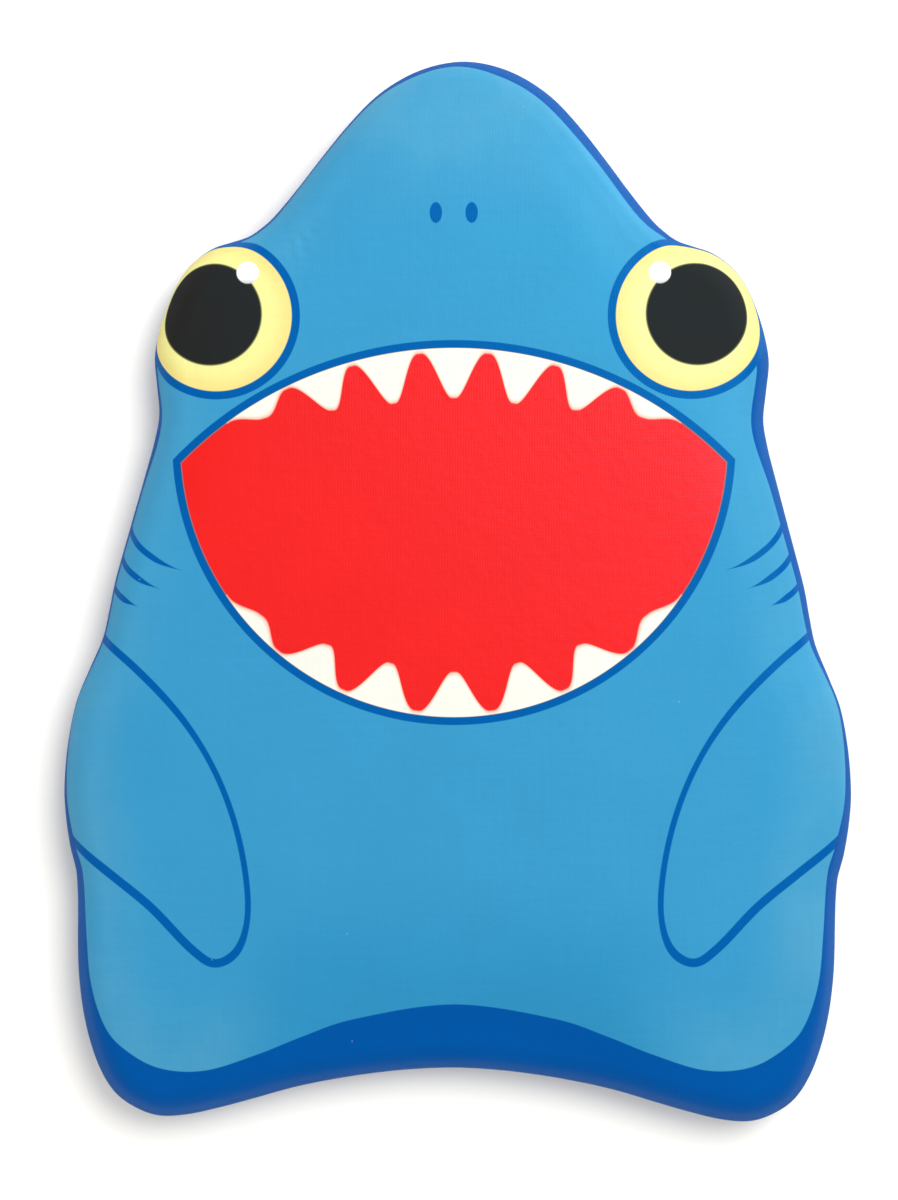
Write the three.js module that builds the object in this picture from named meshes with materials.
// A child's kickboard float: a closed-cell foam core wrapped in a soft padding sheet and a stretch-fabric
// front cover, whose hem turns under the back edge and is closed in by a filler sheet and a back cover.
// Millimetres. The board lies on its back: +Y runs from tail to nose, +Z out of the printed front, and the
// origin is under the middle of the board, on the surface that it lies on.
import * as THREE from "three";

// Driving dimensions
const LENGTH = 430; // nose to the tail corners
const WIDTH = 320; // across the fin bulges
const THICKNESS = 32; // back cover and front cover included

// Layers
const BOND = 0.2; // adhesive film between two layers
const COVER = 0.8; // stretch fabric
const PADDING = 2.2; // soft foam sheet under the fabric
const BACK_COVER = 2.0; // foam-backed skin on the back

// Edge section: how far each rounded edge reaches in from the silhouette, and how deep it is
const FRONT_ROUND = { inset: 13, depth: 12 };
const BACK_ROUND = { inset: 8, depth: 9 };
const HEM_REACH = 16; // how far in from the silhouette the turned-under hem ends
const HEM_GAP = 0.5; // between the hem's cut edge and the filler sheet
const BACK_COVER_INSET = 6; // the back cover's edge, in from the silhouette
const BACK_COVER_EDGE = 1.4; // rounding of the back cover's lower edge

// Heights
const HEM_UNDERSIDE = BACK_COVER + BOND;

// Facets
const SPAN_STEPS = 2; // on the outline, between two of its points
const ARC_STEPS = 4; // on each rounded edge
const SIZING_STEPS = 2000; // for measuring the whole outline

// The right half of the outline, from the notch in the tail round to the nose.
const HALF_OUTLINE = [
  [0, -193], // middle of the hollow tail
  [33, -195.5],
  [65, -201.5], // flank of the hollow
  [95, -210],
  [120, -213.5], // lowest point of the tail corner
  [138, -204],
  [148.5, -182], // outside of the tail corner
  [153, -155],
  [153.5, -132], // waist
  [154.3, -115],
  [157, -104], // trailing end of the fin bulge
  [159.5, -80], // widest point
  [155, -46],
  [144.5, -20], // armpit
  [139.5, 4],
  [127.5, 48], // cheek
  [122.5, 71], // neck below the eye bulge
  [124.5, 95], // eye bulge
  [118.5, 118],
  [111, 131],
  [100.5, 139],
  [87, 143.5], // brow notch
  [76, 152.5],
  [58, 175.5], // side of the snout
  [38, 199],
  [20, 211],
  [0, 215.5], // nose
];

// The outline as points, anticlockwise from above, each with its outward direction.
function outlinePoints() {
  const right = HALF_OUTLINE.map(([x, y]) => new THREE.Vector3(x, y, 0));
  const left = right
    .slice(1, -1)
    .reverse()
    .map((p) => new THREE.Vector3(-p.x, p.y, 0));
  const curve = new THREE.CatmullRomCurve3([...right, ...left], true, "centripetal");
  const box = new THREE.Box3().setFromPoints(curve.getPoints(SIZING_STEPS));
  const size = box.getSize(new THREE.Vector3());
  const middle = box.getCenter(new THREE.Vector3());
  const scaleX = WIDTH / size.x;
  const scaleY = LENGTH / size.y;
  const halfSteps = SPAN_STEPS * (HALF_OUTLINE.length - 1);
  const half = [];
  for (let i = 0; i <= halfSteps; i++) {
    const along = i / (2 * halfSteps);
    const point = curve.getPoint(along);
    const tangent = curve.getTangent(along);
    const out = new THREE.Vector2(tangent.y * scaleY, -tangent.x * scaleX).normalize();
    half.push({ x: point.x * scaleX, y: (point.y - middle.y) * scaleY, outX: out.x, outY: out.y });
  }
  half[0] = { ...half[0], x: 0, outX: 0, outY: -1 };
  half[halfSteps] = { ...half[halfSteps], x: 0, outX: 0, outY: 1 };
  const mirrored = half
    .slice(1, -1)
    .reverse()
    .map((p) => ({ ...p, x: -p.x, outX: -p.outX }));
  return [...half, ...mirrored];
}

const OUTLINE = outlinePoints();

// A closed body from rings that follow the outline. Each [inset, z] is one ring; the first ring is closed
// by a flat cap that faces down, and the last by one that faces up.
function loft(profile) {
  const positions = [];
  const triangles = [];
  const count = OUTLINE.length;
  for (const [inset, z] of profile) {
    for (const p of OUTLINE) positions.push(p.x - inset * p.outX, p.y - inset * p.outY, z);
  }
  for (let ring = 0; ring < profile.length - 1; ring++) {
    for (let i = 0; i < count; i++) {
      const a = ring * count + i;
      const b = ring * count + ((i + 1) % count);
      triangles.push(a, b, b + count, a, b + count, a + count);
    }
  }
  const addCap = (ring, facesUp) => {
    const start = ring * count;
    const flat = [];
    for (let i = start; i < start + count; i++) {
      flat.push(new THREE.Vector2(positions[3 * i], positions[3 * i + 1]));
    }
    for (const [a, b, c] of THREE.ShapeUtils.triangulateShape(flat, [])) {
      triangles.push(start + a, start + (facesUp ? b : c), start + (facesUp ? c : b));
    }
  };
  addCap(0, false);
  addCap(profile.length - 1, true);
  const geometry = new THREE.BufferGeometry();
  geometry.setAttribute("position", new THREE.Float32BufferAttribute(positions, 3));
  geometry.setIndex(triangles);
  geometry.computeVertexNormals();
  return geometry;
}

// The edge section at a depth under the fabric's outer face, from the back flat up to the front flat.
function edgeSection(depth) {
  const back = [];
  const front = [];
  for (let i = 0; i <= ARC_STEPS; i++) {
    const turn = ((Math.PI / 2) * i) / ARC_STEPS;
    back.push([
      BACK_ROUND.inset - (BACK_ROUND.inset - depth) * Math.sin(turn),
      HEM_UNDERSIDE + BACK_ROUND.depth - (BACK_ROUND.depth - depth) * Math.cos(turn),
    ]);
    front.push([
      FRONT_ROUND.inset - (FRONT_ROUND.inset - depth) * Math.cos(turn),
      THICKNESS - FRONT_ROUND.depth + (FRONT_ROUND.depth - depth) * Math.sin(turn),
    ]);
  }
  return [...back, ...front];
}

// A layer that wraps the front, the sides and the turned-under hem, open at the middle of the back.
function wrappedLayer(outerDepth, thickness) {
  const innerDepth = outerDepth + thickness;
  return loft([
    ...edgeSection(innerDepth).reverse(),
    [HEM_REACH, HEM_UNDERSIDE + innerDepth],
    [HEM_REACH, HEM_UNDERSIDE + outerDepth],
    ...edgeSection(outerDepth),
  ]);
}

const PADDING_DEPTH = COVER + BOND;
const CORE_DEPTH = PADDING_DEPTH + PADDING + BOND;

const foamCore = () => loft(edgeSection(CORE_DEPTH));

const frontPadding = () => wrappedLayer(PADDING_DEPTH, PADDING);

const frontCover = () => wrappedLayer(0, COVER);

// The filler sheet levels the back inside the hem.
function backPadding() {
  const inset = HEM_REACH + HEM_GAP;
  return loft([
    [inset, HEM_UNDERSIDE],
    [inset, HEM_UNDERSIDE + CORE_DEPTH - BOND],
  ]);
}

function backCover() {
  const edge = [];
  for (let i = 0; i <= ARC_STEPS; i++) {
    const turn = ((Math.PI / 2) * i) / ARC_STEPS;
    edge.push([
      BACK_COVER_INSET + BACK_COVER_EDGE * (1 - Math.sin(turn)),
      BACK_COVER_EDGE * (1 - Math.cos(turn)),
    ]);
  }
  return loft([...edge, [BACK_COVER_INSET, BACK_COVER]]);
}

const foamWhite = new THREE.MeshStandardMaterial({ color: 0xf2f2ee, roughness: 0.9, metalness: 0 });
const foamGrey = new THREE.MeshStandardMaterial({ color: 0xd8dde2, roughness: 0.85, metalness: 0 });
const printedBlue = new THREE.MeshStandardMaterial({ color: 0x40a0d2, roughness: 0.6, metalness: 0 });
const plainBlue = new THREE.MeshStandardMaterial({ color: 0x0159a8, roughness: 0.6, metalness: 0 });

function part(name, geometry, material) {
  const mesh = new THREE.Mesh(geometry, material);
  mesh.name = name;
  return mesh;
}

const kickboard = new THREE.Group();
kickboard.add(
  part("foam_core", foamCore(), foamWhite),
  part("front_padding", frontPadding(), foamGrey),
  part("front_cover", frontCover(), printedBlue),
  part("back_padding", backPadding(), foamGrey),
  part("back_cover", backCover(), plainBlue),
);

export default kickboard;
